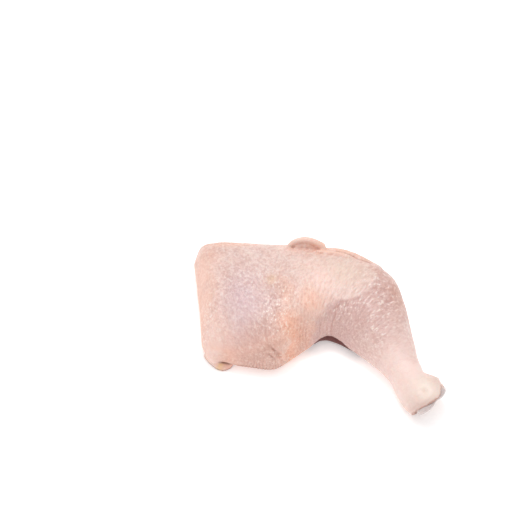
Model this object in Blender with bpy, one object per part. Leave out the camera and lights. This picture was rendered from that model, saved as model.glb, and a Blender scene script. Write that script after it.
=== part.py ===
"""Raw chicken leg quarter, lying on its flat underside, skin side up.

Two pieces: the leg quarter, which is thigh and drumstick in one skin, and the shin bone,
which runs through the drumstick and shows where the foot was cut off at the hock.
+X runs from the cut side of the thigh towards the hock, -Y is the side of the notch
between thigh and drumstick, and the origin is on the floor in the middle of the outline.
"""

from collections import namedtuple

import bmesh
import bpy
import numpy as np

# Driving dimensions, in metres
MIDDLE = (-0.0045, -0.0151)      # middle of the outline, in the stations' own coordinates
SIDE_ROUNDING = 0.015            # how far in the cut side of the thigh is rounded over
SIDE_CORNERS = 0.14              # share of its width that its two corners are rounded by
HOCK_LEAN = 0.42                 # the hock cut overhangs by this much of its height
HOCK_SKEW = 0.33                 # and runs askew to the shin by this much of its width
HOCK_BOW = 0.0035                # its middle stands out by this
HOCK_REACH = 0.030               # stretch of the shank that follows the slant of the cut
HOCK_MIDDLE_HEIGHT = 0.013
SOCKET_DEPTH = 0.003             # the flesh inside the hock cut lies this far back
CLEARANCE = 0.0003               # between bone and flesh
ROWS = 82                        # sections along the leg
HALF_AROUND = 25                 # steps over the top of a section, and as many under it

# Sections across the leg, from the cut side of the thigh to the hock. front and back are
# the two edges in plan; then the heights of both edges, of the crown and of the belly,
# and how round the top is: 1 for a plain round, less for a flat top with full shoulders.
Station = namedtuple("Station", "front back front_height back_height crown belly fullness")
STATIONS = (
    # thigh
    Station((-0.085, -0.032), (-0.093, 0.048), 0.010, 0.014, 0.025, 0.000, 0.70),
    Station((-0.080, -0.038), (-0.089, 0.055), 0.008, 0.017, 0.031, 0.000, 0.70),
    Station((-0.067, -0.040), (-0.076, 0.057), 0.008, 0.020, 0.036, 0.000, 0.70),
    Station((-0.050, -0.043), (-0.056, 0.054), 0.008, 0.022, 0.040, 0.000, 0.70),
    Station((-0.033, -0.0445), (-0.036, 0.0515), 0.008, 0.023, 0.042, 0.000, 0.70),
    Station((-0.0195, -0.0360), (-0.016, 0.050), 0.008, 0.024, 0.043, 0.000, 0.72),
    # knee, where the sections fan out from the notch
    Station((-0.0085, -0.0275), (0.004, 0.046), 0.012, 0.023, 0.043, 0.001, 0.74),
    Station((-0.001, -0.0205), (0.022, 0.041), 0.016, 0.022, 0.042, 0.002, 0.76),
    Station((0.0060, -0.0190), (0.0395, 0.0335), 0.018, 0.021, 0.042, 0.003, 0.80),
    Station((0.0125, -0.0225), (0.0530, 0.0210), 0.017, 0.020, 0.042, 0.002, 0.86),
    # drumstick
    Station((0.0195, -0.0283), (0.0595, 0.0005), 0.015, 0.020, 0.041, 0.000, 0.92),
    Station((0.0295, -0.0370), (0.0625, -0.0185), 0.014, 0.018, 0.037, 0.001, 0.98),
    Station((0.0395, -0.0480), (0.0653, -0.0345), 0.014, 0.016, 0.030, 0.003, 1.00),
    Station((0.0465, -0.0585), (0.0675, -0.0465), 0.014, 0.015, 0.025, 0.004, 1.00),
    # hock
    Station((0.051, -0.069), (0.074, -0.055), 0.013, 0.014, 0.026, 0.001, 0.95),
    Station((0.058, -0.081), (0.080, -0.061), 0.013, 0.013, 0.027, 0.000, 0.85),
    Station((0.063, -0.086), (0.082, -0.065), 0.013, 0.013, 0.025, 0.001, 0.80),
)

# Swellings and hollows of the flesh: middle, reach and height
Swelling = namedtuple("Swelling", "middle reach height")
SWELLINGS = (
    Swelling((-0.053, -0.012, 0.037), (0.017, 0.030, 0.030), 0.0018),    # thigh muscle
    Swelling((-0.068, 0.000, 0.035), (0.005, 0.034, 0.030), -0.0014),    # furrow beside it
    Swelling((-0.084, 0.010, 0.020), (0.008, 0.034, 0.016), -0.0022),    # hollow of the cut side
    Swelling((-0.036, -0.008, 0.041), (0.007, 0.026, 0.020), -0.0012),   # furrow of the muscle
    Swelling((-0.018, -0.041, 0.014), (0.010, 0.010, 0.012), -0.0045),   # edge beside the notch
    Swelling((-0.024, -0.036, 0.026), (0.007, 0.006, 0.008), 0.0016),    # fold over it
    Swelling((-0.010, -0.030, 0.027), (0.009, 0.009, 0.010), -0.0045),   # web over the notch
    Swelling((0.008, -0.014, 0.006), (0.012, 0.010, 0.007), -0.0050),    # hollow under the web
    Swelling((0.046, -0.008, 0.041), (0.011, 0.014, 0.014), -0.0020),    # flat side of the calf
    Swelling((0.036, -0.020, 0.040), (0.008, 0.024, 0.016), 0.0016),     # calf ridge
    Swelling((0.0665, -0.0765, 0.026), (0.003, 0.0034, 0.006), -0.0010),  # dimple of the knuckle
    Swelling((0.0712, -0.0548, 0.018), (0.005, 0.005, 0.009), -0.0016),  # neck above it
    Swelling((0.056, -0.076, 0.018), (0.006, 0.006, 0.008), 0.0008),     # inner ankle
)

# Creases of the skin: path, half width and depth
Crease = namedtuple("Crease", "path half_width depth")
CREASES = (
    Crease(((-0.0385, -0.0365, 0.0310), (-0.0345, -0.0400, 0.0270), (-0.0305, -0.0425, 0.0220),
            (-0.0280, -0.0445, 0.0130), (-0.0270, -0.0455, 0.0040)), 0.0036, 0.0022),
    Crease(((0.006, 0.036, 0.036), (0.022, 0.034, 0.034), (0.038, 0.027, 0.031)),
           0.0030, 0.0016),
)

# The thigh's skin laps over the drumstick along this path
LAP_PATH = ((-0.0110, -0.0320), (-0.0078, -0.0261), (-0.0008, -0.0172), (0.0046, -0.0114),
            (0.0128, -0.0081), (0.0200, -0.0088), (0.0259, -0.0060), (0.0321, -0.0018),
            (0.0375, 0.0070), (0.0400, 0.0162), (0.0425, 0.0250))
LAP_HEIGHT = 0.0010
LAP_EDGE = 0.0034
LAP_FADE = 0.016

# The rolled edge of skin along the back of the thigh: middle line and radii
HEM_PATH = ((0.000, 0.038, 0.0370), (0.010, 0.038, 0.0362), (0.022, 0.0360, 0.0345),
            (0.034, 0.0305, 0.0330), (0.0435, 0.0245, 0.0322))
HEM_RADII = (0.0020, 0.0026, 0.0026, 0.0022, 0.0010)

# The ear of loose skin that stands up behind the thigh
EAR_HEIGHT = 0.0108
EAR_THICKNESS = 0.0018
EAR_START = (-0.0238, 0.0405, 0.0346)
EAR_END = (0.0035, 0.0392, 0.0355)
EAR_LEAN = 0.0075
EAR_CURL = 0.0012

# The corner of skin that is tucked under the thigh
TUCK_MIDDLE = np.array((-0.0720, -0.0340))
TUCK_OUTLINE = ((-0.0835, -0.0290), (-0.0812, -0.0340), (-0.0776, -0.0380), (-0.0748, -0.0406),
                (-0.0705, -0.0424), (-0.0664, -0.0414), (-0.0632, -0.0385), (-0.0625, -0.0330),
                (-0.0690, -0.0270), (-0.0770, -0.0245))
TUCK_HEIGHT = 0.0080
TUCK_LIP = 0.0026

# The shin bone: from the hock to the knee, then (share of the length, width, depth)
BONE_HOCK = np.array((0.0734, -0.0760, 0.0132))
BONE_KNEE = np.array((0.0310, -0.0020, 0.0200))
BONE_PROFILE = ((0.00, 0.0230, 0.0195), (0.05, 0.0235, 0.0195), (0.12, 0.0190, 0.0150),
                (0.22, 0.0120, 0.0110), (0.34, 0.0088, 0.0088), (0.70, 0.0088, 0.0088),
                (0.88, 0.0120, 0.0115), (1.00, 0.0140, 0.0130))
BONE_END_BULGE = 0.0042
BONE_GROOVE = 0.16               # depth of the pulley's groove, as a share of its radius
BONE_ROWS = 26
BONE_AROUND = 24


def smooth(value, low, high):
    """0 below low, 1 above high, with a soft change between."""
    t = np.clip((value - low) / (high - low), 0, 1)
    return t * t * (3 - 2 * t)


def through(knots, values, at):
    """A smooth curve through values at the knots, read at other places."""
    knots = np.asarray(knots, float)
    values = np.asarray(values, float)
    slopes = np.gradient(values, knots, axis=0)
    i = np.clip(np.searchsorted(knots, at, side="right") - 1, 0, len(knots) - 2)
    wide = (-1,) + (1,) * (values.ndim - 1)
    step = (knots[i + 1] - knots[i]).reshape(wide)
    t = ((at - knots[i]) / (knots[i + 1] - knots[i])).reshape(wide)
    start = (2 * t**3 - 3 * t**2 + 1) * values[i] + (t**3 - 2 * t**2 + t) * step * slopes[i]
    end = (3 * t**2 - 2 * t**3) * values[i + 1] + (t**3 - t**2) * step * slopes[i + 1]
    return start + end


def distance_to(points, path):
    """Distance of each point from a path of straight runs, and its signed side in plan."""
    path = np.asarray(path, float)
    nearest = np.full(len(points), np.inf)
    side = np.zeros(len(points))
    for start, end in zip(path[:-1], path[1:]):
        run = end - start
        t = np.clip((points - start) @ run / (run @ run), 0, 1)
        gap = points - start - t[:, None] * run
        distance = np.linalg.norm(gap, axis=1)
        closer = distance < nearest
        nearest = np.where(closer, distance, nearest)
        side = np.where(closer, run[0] * gap[:, 1] - run[1] * gap[:, 0], side)
    return nearest, np.sign(side)


def hock_lean(left, height):
    """How far outwards the slant of the cut carries a point that far from the hock."""
    return HOCK_LEAN * (1 - smooth(left, 0, HOCK_REACH)) * (height - HOCK_MIDDLE_HEIGHT)


def section_places():
    """Distances along the leg of the sections, which crowd towards the rounded side."""
    plan = np.array([station.front + station.back for station in STATIONS])
    middle = (plan[:, :2] + plan[:, 2:]) / 2
    steps = np.linalg.norm(np.diff(middle, axis=0), axis=1)
    knots = np.concatenate([[0], np.cumsum(np.maximum(steps, 0.006))])
    rounded = SIDE_ROUNDING * (1 - np.cos(np.linspace(0, np.pi / 2, 8)))
    plain = np.linspace(SIDE_ROUNDING, knots[-1], ROWS - 7)[1:]
    return knots, np.concatenate([rounded, plain])


def leg_sections():
    """Points of the smooth leg, as rows of sections, each from the front over the top."""
    knots, places = section_places()
    values = np.array([station.front + station.back + station[2:] for station in STATIONS])
    read = through(knots, values, places)
    front, back = read[:, 0:2], read[:, 2:4]
    front_height, back_height, crown, belly, fullness = read[:, 4:].T[:, :, None]
    inset = np.minimum(places / SIDE_ROUNDING, 1)
    swell = np.sqrt(1 - (1 - inset) ** 2)[:, None]
    angle = np.arange(2 * HALF_AROUND) * np.pi / HALF_AROUND
    across = -np.cos(angle)[None, :]
    rise = np.clip(np.sin(angle), 0, 1)[None, :]
    fall = np.clip(-np.sin(angle), 0, 1)[None, :]
    edge = front_height + (back_height - front_height) * (across + 1) / 2
    top = edge + (crown - edge) * rise**fullness * swell
    under = edge - (edge - belly) * np.minimum(1, 1.15 * fall**0.55) * swell
    height = np.where(np.sin(angle)[None, :] > 0, top, under)
    half = (back - front) / 2 * (1 - SIDE_CORNERS * (1 - swell))
    plan = ((front + back) / 2)[:, None, :] + half[:, None, :] * across[..., None]
    outwards = np.stack([half[:, 1], -half[:, 0]], -1)
    outwards /= np.linalg.norm(outwards, axis=1, keepdims=True)
    left = (places[-1] - places)[:, None]
    bow = HOCK_BOW * (1 - smooth(left, 0, HOCK_REACH / 2)) * (1 - across**2)
    plan = plan + outwards[:, None, :] * (hock_lean(left, height) + bow)[..., None]
    return np.concatenate([plan, np.maximum(height, 0)[..., None]], -1)


def normals_of(grid):
    """Unit normals, facing out, of a grid that closes round its second direction."""
    along = np.gradient(grid, axis=0)
    around = np.roll(grid, -1, 1) - np.roll(grid, 1, 1)
    normals = np.cross(along, around)
    return normals / np.maximum(np.linalg.norm(normals, axis=2, keepdims=True), 1e-12)


def relief(points):
    """How far the flesh and skin stand out from the smooth leg at each point."""
    out = np.zeros(len(points))
    for swelling in SWELLINGS:
        reach = (points - np.array(swelling.middle)) / np.array(swelling.reach)
        out += swelling.height * np.exp(-(reach**2).sum(1))
    for path, half_width, depth in CREASES:
        away = distance_to(points, path)[0] / half_width
        out += depth * (0.35 * np.exp(-((away - 2.2) ** 2)) - np.exp(-(away**2)))
    away, side = distance_to(points[:, :2], LAP_PATH)
    away = away * side
    lap = LAP_HEIGHT * smooth(away, -LAP_EDGE, 0) * np.exp(-np.maximum(away, 0) / LAP_FADE)
    out += lap * smooth(points[:, 2], 0.020, 0.028)
    return out * smooth(points[:, 2], 0.001, 0.007)


def grid_mesh(name, grid, caps):
    """A mesh of a grid closed round its second direction; caps are the end points or None."""
    rows, around = grid.shape[:2]
    points = [tuple(point) for point in grid.reshape(-1, 3)]
    faces = []
    for row in range(rows - 1):
        for column in range(around):
            after = (column + 1) % around
            low, high = row * around, (row + 1) * around
            faces.append((low + column, high + column, high + after, low + after))
    for row, cap in zip((0, rows - 1), caps):
        if cap is None:
            continue
        points.append(tuple(cap))
        ring = [row * around + column for column in range(around)]
        for first, second in zip(ring, ring[1:] + ring[:1]):
            faces.append((first, second, len(points) - 1))
    mesh = bpy.data.meshes.new(name)
    mesh.from_pydata(points, [], faces)
    return mesh


def placed(name, mesh, material=None):
    """Joins meeting points, turns the faces outwards and adds the object to the scene."""
    work = bmesh.new()
    work.from_mesh(mesh)
    bmesh.ops.remove_doubles(work, verts=work.verts, dist=1e-6)
    bmesh.ops.dissolve_degenerate(work, edges=work.edges, dist=1e-7)
    bmesh.ops.recalc_face_normals(work, faces=work.faces)
    bmesh.ops.translate(work, verts=work.verts, vec=(-MIDDLE[0], -MIDDLE[1], 0))
    work.to_mesh(mesh)
    work.free()
    mesh.shade_smooth()
    made = bpy.data.objects.new(name, mesh)
    bpy.context.scene.collection.objects.link(made)
    if material:
        mesh.materials.append(material)
    else:
        made.hide_render = True
        made.display_type = "WIRE"
    return made


def leg():
    """The leg quarter's body, closed at the hock by flesh that lies a little inside the cut."""
    grid = leg_sections()
    normals = normals_of(grid)
    heights = relief(grid.reshape(-1, 3)).reshape(grid.shape[:2])
    grid = grid + normals * heights[..., None]
    opposite = -np.arange(grid.shape[1]) % grid.shape[1]
    grid[0] = (grid[0] + grid[0, opposite]) / 2
    rim = grid[-1]
    outwards = (BONE_HOCK - BONE_KNEE) / np.linalg.norm(BONE_HOCK - BONE_KNEE)
    inner = rim.mean(0) + 0.80 * (rim - rim.mean(0)) - SOCKET_DEPTH * outwards
    grid = np.concatenate([grid, inner[None]])
    return grid_mesh("leg_quarter", grid, (None, inner.mean(0)))


def tube(name, path, radii, sides=10, steps=24):
    """A soft cord with rounded ends along a path, its radius read between the given ones."""
    path = np.asarray(path, float)
    knots = np.concatenate([[0], np.cumsum(np.linalg.norm(np.diff(path, axis=0), axis=1))])
    places = knots[-1] * (1 - np.cos(np.linspace(0, np.pi, steps))) / 2
    middle = through(knots, path, places)
    radius = through(knots, radii, places)
    ends = np.minimum(places, knots[-1] - places) / 0.002
    radius = radius * np.sqrt(np.clip(1 - (1 - np.minimum(ends, 1)) ** 2, 0.04, 1))
    ahead = np.gradient(middle, axis=0)
    ahead /= np.linalg.norm(ahead, axis=1, keepdims=True)
    side = np.cross(ahead, (0, 0, 1))
    side /= np.linalg.norm(side, axis=1, keepdims=True)
    up = np.cross(side, ahead)
    angle = np.arange(sides) * 2 * np.pi / sides
    ring = side[:, None] * np.cos(angle)[:, None] + up[:, None] * np.sin(angle)[:, None]
    grid = middle[:, None] + radius[:, None, None] * ring
    return grid_mesh(name, grid, (middle[0], middle[-1]))


def ear():
    """A leaf of skin with one edge in the thigh, its free edge curled towards the front."""
    start, end = np.array(EAR_START), np.array(EAR_END)
    share = np.linspace(0, 1, 15)[:, None]
    rise = np.linspace(-0.30, 1, 8)[None, :]
    arch = np.sin(np.pi * share) ** 0.6 * (1 - 0.30 * share)
    up = EAR_HEIGHT * rise * np.where(rise > 0, arch, 1)
    back = EAR_LEAN * arch * np.sin(np.pi * 0.75 * np.clip(rise, 0, 1))
    curl = EAR_CURL * arch * np.clip(rise, 0, 1) ** 3
    base = start + (end - start) * share
    face = np.stack([np.broadcast_to(base[:, 0:1], up.shape), base[:, 1:2] + back - curl,
                     base[:, 2:3] + up], -1)
    rear = face + np.array((0, EAR_THICKNESS, 0.0004))
    grid = np.concatenate([face, rear[:, ::-1]], 1)
    return grid_mesh("ear", grid, (grid[0].mean(0), grid[-1].mean(0)))


def tuck():
    """The tucked corner: a low flat-bottomed mound, its height falling as sqrt(1 - share^2)."""
    share = np.sin(np.linspace(0, np.pi / 2, 9))[1:]
    count = len(TUCK_OUTLINE)
    around = np.array(TUCK_OUTLINE * 3)
    ring = through(np.arange(3 * count), around, count + np.arange(30) * count / 30)
    plan = TUCK_MIDDLE + share[:, None, None] * (ring - TUCK_MIDDLE)
    height = TUCK_LIP + (TUCK_HEIGHT - TUCK_LIP) * np.sqrt(1 - share**2)[:, None, None]
    top = np.concatenate([plan, np.broadcast_to(height, plan.shape[:2] + (1,))], -1)
    grid = np.concatenate([top, top[-1:] * np.array((1, 1, 0))])
    peak = np.append(TUCK_MIDDLE, TUCK_HEIGHT)
    return grid_mesh("tuck", grid, (peak, np.append(TUCK_MIDDLE, 0.0)))


def bone(gap=0.0):
    """The shin bone, or with a gap the space it lies in: a shaft between two knuckles."""
    length = np.linalg.norm(BONE_KNEE - BONE_HOCK)
    inwards = (BONE_KNEE - BONE_HOCK) / length
    side = np.cross(inwards, (0, 0, 1))
    side /= np.linalg.norm(side)
    up = np.cross(side, inwards)
    profile = np.array(BONE_PROFILE)
    share = (1 - np.cos(np.linspace(0, np.pi, BONE_ROWS))) / 2
    size = through(profile[:, 0], profile[:, 1:], share) / 2 + gap
    angle = np.arange(BONE_AROUND) * 2 * np.pi / BONE_AROUND
    knuckle = (1 - smooth(share, 0.0, 0.16))[:, None]
    across = size[:, 0:1] * np.cos(angle)
    rise = size[:, 1:2] * np.sin(angle) * (1 - BONE_GROOVE * knuckle * np.sin(angle) ** 6)
    middle = BONE_HOCK + share[:, None] * length * inwards
    grid = middle[:, None] + across[..., None] * side + rise[..., None] * up
    left = (share * length)[:, None]
    skew = HOCK_SKEW * (1 - smooth(left, 0, HOCK_REACH)) * across
    level = np.cross((0, 0, 1), side)
    grid = grid + (skew - hock_lean(left, grid[..., 2]))[..., None] * level
    hock_dome, hock_pole = dome(grid[0], -level, BONE_END_BULGE + 20 * gap)
    knee_dome, knee_pole = dome(grid[-1], inwards, BONE_END_BULGE + gap)
    grid = np.concatenate([hock_dome[::-1], grid, knee_dome])
    return grid_mesh("bone", grid, (hock_pole, knee_pole))


def dome(ring, direction, bulge, steps=5):
    """Rings that close an end with a rounded cap, from the outer one in, and its top."""
    middle = ring.mean(0)
    turn = (np.arange(1, steps) * np.pi / 2 / steps)[:, None, None]
    rings = middle + np.cos(turn) * (ring - middle) + np.sin(turn) * bulge * direction
    return rings, middle + bulge * direction


def material(name, colour, roughness, subsurface):
    """A plain finish of one colour, a little translucent."""
    made = bpy.data.materials.new(name)
    made.use_nodes = True
    shader = made.node_tree.nodes["Principled BSDF"]
    shader.inputs["Base Color"].default_value = (*colour, 1)
    shader.inputs["Roughness"].default_value = roughness
    shader.inputs["Metallic"].default_value = 0.0
    shader.inputs["Subsurface Weight"].default_value = subsurface
    return made


def combine(body, other, operation):
    """Adds a Boolean that joins the other object to the body, or cuts it out."""
    step = body.modifiers.new(other.name, "BOOLEAN")
    step.operation = operation
    step.solver = "EXACT"
    step.object = other


def main():
    for old in list(bpy.data.objects):
        bpy.data.objects.remove(old, do_unlink=True)
    skin = material("raw_skin", (0.80, 0.58, 0.52), 0.36, 0.15)
    cartilage = material("cartilage", (0.78, 0.70, 0.68), 0.30, 0.10)
    body = placed("leg_quarter", leg(), skin)
    combine(body, placed("tuck_shape", tuck()), "UNION")
    combine(body, placed("ear_shape", ear()), "UNION")
    combine(body, placed("hem_shape", tube("hem", HEM_PATH, HEM_RADII)), "UNION")
    combine(body, placed("socket_shape", bone(CLEARANCE)), "DIFFERENCE")
    placed("shin_bone", bone(), cartilage)


main()
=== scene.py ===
"""Raw chicken leg quarter on a white studio floor: the skin, the shin bone's gristle, and the light.

The skin is worked out with numpy as closed surfaces over grids of two parameters: the leg, lofted
through sections that fan round the knee, and the ear, hem and tuck of loose skin. They are merged
into one hull, eased, and pushed out along their normals by fine wrinkles. All sizes are in metres.
"""

from collections import namedtuple

import bpy
import numpy as np
from bpy.props import FloatProperty, FloatVectorProperty, PointerProperty
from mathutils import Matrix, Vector


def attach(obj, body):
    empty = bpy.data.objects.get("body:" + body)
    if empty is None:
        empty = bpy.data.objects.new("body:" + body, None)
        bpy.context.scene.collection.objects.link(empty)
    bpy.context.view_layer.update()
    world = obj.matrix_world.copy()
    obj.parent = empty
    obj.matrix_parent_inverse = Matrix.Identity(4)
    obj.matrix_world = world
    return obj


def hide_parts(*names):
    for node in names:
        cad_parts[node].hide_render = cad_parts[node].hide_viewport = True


bl_info = {
    "name": "Raw Chicken Leg Quarter",
    "version": (1, 0, 0),
    "blender": (4, 5, 0),
    "location": "3D View > Sidebar > Leg Quarter",
    "description": "Builds the skin, gristle and studio of a raw chicken leg quarter",
    "category": "Object",
}

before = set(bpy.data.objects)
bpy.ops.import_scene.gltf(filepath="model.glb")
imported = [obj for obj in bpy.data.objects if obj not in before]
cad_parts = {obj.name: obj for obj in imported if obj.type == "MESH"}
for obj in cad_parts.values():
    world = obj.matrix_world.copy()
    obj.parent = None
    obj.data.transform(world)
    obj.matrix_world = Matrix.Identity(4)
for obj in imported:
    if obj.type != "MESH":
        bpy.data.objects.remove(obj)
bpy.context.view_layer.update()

# The sections below have their own origin; this is where the frame's origin lies in it
MIDDLE = np.array((-0.0045, -0.0151, 0.0))

# The leg's loft
SIDE_ROUNDING = 0.015            # how far in the cut side of the thigh is rounded over
SIDE_CORNERS = 0.14              # share of its width that its two corners are rounded by
BELLY_FLATNESS, BELLY_ROUNDNESS = 1.15, 0.55
HOCK_LEAN = 0.42                 # the hock cut overhangs by this much of its height
HOCK_SKEW = 0.33                 # and runs askew to the shin by this much of its width
HOCK_BOW = 0.0035                # its middle stands out by this
HOCK_REACH = 0.030               # stretch of the shank that follows the slant of the cut
HOCK_MIDDLE_HEIGHT = 0.013
SOCKET_DEPTH = 0.003             # the flesh inside the hock cut lies this far back
SOCKET_RINGS = ((0.92, 0.05), (0.86, 0.45), (0.84, 1.0), (0.4, 1.0))  # shares of rim and depth
SKIN_SHRINK = 0.0010             # the skin has drawn back from the cut by this much
SKIN_SHRINK_BEHIND = 0.0045      # and by this much more at the back

# Sections across the leg, from the cut side of the thigh to the hock. front and back are
# the two edges in plan; then the heights of both edges, of the crown and of the belly,
# and how round the top is: 1 for a plain round, less for a flat top with full shoulders
Station = namedtuple("Station", "front back front_height back_height crown belly fullness")
STATIONS = (
    # thigh
    Station((-0.085, -0.032), (-0.093, 0.048), 0.010, 0.014, 0.025, 0.000, 0.70),
    Station((-0.080, -0.038), (-0.089, 0.055), 0.008, 0.017, 0.031, 0.000, 0.70),
    Station((-0.067, -0.040), (-0.076, 0.057), 0.008, 0.020, 0.036, 0.000, 0.70),
    Station((-0.050, -0.043), (-0.056, 0.054), 0.008, 0.022, 0.040, 0.000, 0.70),
    Station((-0.033, -0.0445), (-0.036, 0.0515), 0.008, 0.023, 0.042, 0.000, 0.70),
    Station((-0.0195, -0.0360), (-0.016, 0.050), 0.008, 0.024, 0.043, 0.000, 0.72),
    # knee, where the sections fan out from the notch
    Station((-0.0085, -0.0275), (0.004, 0.046), 0.012, 0.023, 0.043, 0.001, 0.74),
    Station((-0.001, -0.0205), (0.022, 0.041), 0.016, 0.022, 0.042, 0.002, 0.76),
    Station((0.0060, -0.0190), (0.0395, 0.0335), 0.018, 0.021, 0.042, 0.003, 0.80),
    Station((0.0125, -0.0225), (0.0530, 0.0210), 0.017, 0.020, 0.042, 0.002, 0.86),
    # drumstick
    Station((0.0195, -0.0283), (0.0595, 0.0005), 0.015, 0.020, 0.041, 0.000, 0.92),
    Station((0.0295, -0.0370), (0.0625, -0.0185), 0.014, 0.018, 0.037, 0.001, 0.98),
    Station((0.0395, -0.0480), (0.0653, -0.0345), 0.014, 0.016, 0.030, 0.003, 1.00),
    Station((0.0465, -0.0585), (0.0675, -0.0465), 0.014, 0.015, 0.025, 0.004, 1.00),
    # hock
    Station((0.051, -0.069), (0.074, -0.055), 0.013, 0.014, 0.026, 0.001, 0.95),
    Station((0.058, -0.081), (0.080, -0.061), 0.013, 0.013, 0.027, 0.000, 0.85),
    Station((0.063, -0.086), (0.082, -0.065), 0.013, 0.013, 0.025, 0.001, 0.80),
)

# Swellings and hollows of the flesh: middle, reach and height
SWELLINGS = (
    ((-0.053, -0.012, 0.037), (0.017, 0.030, 0.030), 0.0018),    # thigh muscle
    ((-0.068, 0.000, 0.035), (0.005, 0.034, 0.030), -0.0014),    # furrow beside it
    ((-0.084, 0.010, 0.020), (0.008, 0.034, 0.016), -0.0022),    # hollow of the cut side
    ((-0.036, -0.008, 0.041), (0.007, 0.026, 0.020), -0.0012),   # furrow of the muscle
    ((-0.018, -0.041, 0.014), (0.010, 0.010, 0.012), -0.0045),   # edge beside the notch
    ((-0.024, -0.036, 0.026), (0.007, 0.006, 0.008), 0.0016),    # fold over it
    ((-0.010, -0.030, 0.027), (0.009, 0.009, 0.010), -0.0045),   # web over the notch
    ((0.046, -0.008, 0.041), (0.011, 0.014, 0.014), -0.0020),    # flat side of the calf
    ((0.036, -0.020, 0.040), (0.008, 0.024, 0.016), 0.0016),     # calf ridge
    ((0.0665, -0.0765, 0.026), (0.003, 0.0034, 0.006), -0.0010),  # dimple of the knuckle
    ((0.0712, -0.0548, 0.018), (0.005, 0.005, 0.009), -0.0030),  # neck above it
    ((0.056, -0.076, 0.018), (0.006, 0.006, 0.008), 0.0008),     # inner ankle
)

# Creases of the skin: path, half width and depth
CREASES = (
    # beside the notch
    (((-0.0367, -0.0398, 0.0268), (-0.0354, -0.0403, 0.0252), (-0.0332, -0.0416, 0.0232),
      (-0.0317, -0.0424, 0.0213), (-0.0298, -0.0424, 0.0190), (-0.0284, -0.0415, 0.0145),
      (-0.0272, -0.0405, 0.0085)), 0.0012, 0.0020),
    (((-0.0372, -0.0433, 0.0220), (-0.0352, -0.0436, 0.0190), (-0.0338, -0.0437, 0.0172)),
     0.0009, 0.0004),
    # over the tucked corner
    (((-0.0720, -0.0393, 0.0075), (-0.0677, -0.0396, 0.0060), (-0.0648, -0.0398, 0.0052),
      (-0.0613, -0.0402, 0.0048)), 0.0010, 0.0010),
    # in front of the hem
    (((0.0020, 0.0353, 0.0377), (0.0110, 0.0354, 0.0369), (0.0178, 0.0350, 0.0363),
      (0.0240, 0.0325, 0.0366), (0.0307, 0.0292, 0.0366), (0.0368, 0.0255, 0.0360)),
     0.0012, 0.0010),
)

# Painted shadow: the dark line from the tucked corner along the thigh's lower edge
EDGE_SHADOW_PATH = ((-0.0722, -0.0393, 0.0076), (-0.0677, -0.0397, 0.0068), (-0.0640, -0.0399, 0.0060),
             (-0.0600, -0.0406, 0.0062), (-0.0563, -0.0418, 0.0067), (-0.0507, -0.0424, 0.0065),
             (-0.0451, -0.0437, 0.0063), (-0.0395, -0.0444, 0.0062), (-0.0331, -0.0437, 0.0055),
             (-0.0290, -0.0415, 0.0048))

# The thigh's skin laps over the drumstick along this path
LAP_PATH = ((-0.0110, -0.0320), (-0.0078, -0.0261), (-0.0008, -0.0172), (0.0046, -0.0114),
            (0.0128, -0.0081), (0.0200, -0.0088), (0.0259, -0.0060), (0.0321, -0.0018),
            (0.0375, 0.0070), (0.0400, 0.0162), (0.0425, 0.0250))
LAP_HEIGHT = 0.0010              # height of the step
LAP_EDGE = 0.0034                # it rises over this distance
LAP_FADE = 0.016                 # and sinks back over this one
LAP_LOW = (0.020, 0.028)         # lower down on the leg it fades out between these heights

# The rolled edge of skin along the back of the thigh: middle line and radii
HEM_PATH = ((0.000, 0.038, 0.0370), (0.010, 0.038, 0.0362), (0.022, 0.0360, 0.0345),
            (0.034, 0.0305, 0.0330), (0.0435, 0.0245, 0.0322))
HEM_RADII = (0.0020, 0.0026, 0.0026, 0.0022, 0.0010)
HEM_FOLD_PATH = ((-0.004, 0.0368, 0.0386), (0.008, 0.0350, 0.0384), (0.020, 0.0325, 0.0372),
                 (0.031, 0.0275, 0.0352))
HEM_FOLD_RADII = (0.0006, 0.0012, 0.0012, 0.0006)

# Length of the round ends of every roll of skin
ROLL_END = 0.002

# The ear of loose skin that stands up behind the thigh
EAR_START = np.array((-0.0238, 0.0405, 0.0344))
EAR_END = np.array((0.0035, 0.0392, 0.0353))
EAR_HEIGHT = 0.0099
EAR_THICKNESS = 0.0018
EAR_LEAN = 0.0042                # how far it leans back
EAR_CURL = 0.0006                # and its edge curls to the front
EAR_RIM = 0.0022                 # mean radius of the roll along its edge
EAR_FOLD_PATH = ((-0.0190, 0.0422, 0.0380), (-0.0120, 0.0430, 0.0390), (-0.0040, 0.0424, 0.0382),
                 (0.0020, 0.0406, 0.0370))
EAR_FOLD_RADII = (0.0018, 0.0028, 0.0028, 0.0018)

# The corner of skin that is tucked under the thigh
TUCK_MIDDLE = np.array((-0.0720, -0.0340))
TUCK_OUTLINE = ((-0.0835, -0.0290), (-0.0812, -0.0340), (-0.0776, -0.0380), (-0.0748, -0.0406),
                (-0.0705, -0.0424), (-0.0664, -0.0414), (-0.0632, -0.0385), (-0.0625, -0.0330),
                (-0.0690, -0.0270), (-0.0770, -0.0245))
TUCK_HEIGHT = 0.0080
TUCK_LIP = 0.0026
TUCK_SEAM = ((-0.0830, -0.0290, 0.0060), (-0.0775, -0.0355, 0.0060))

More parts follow.
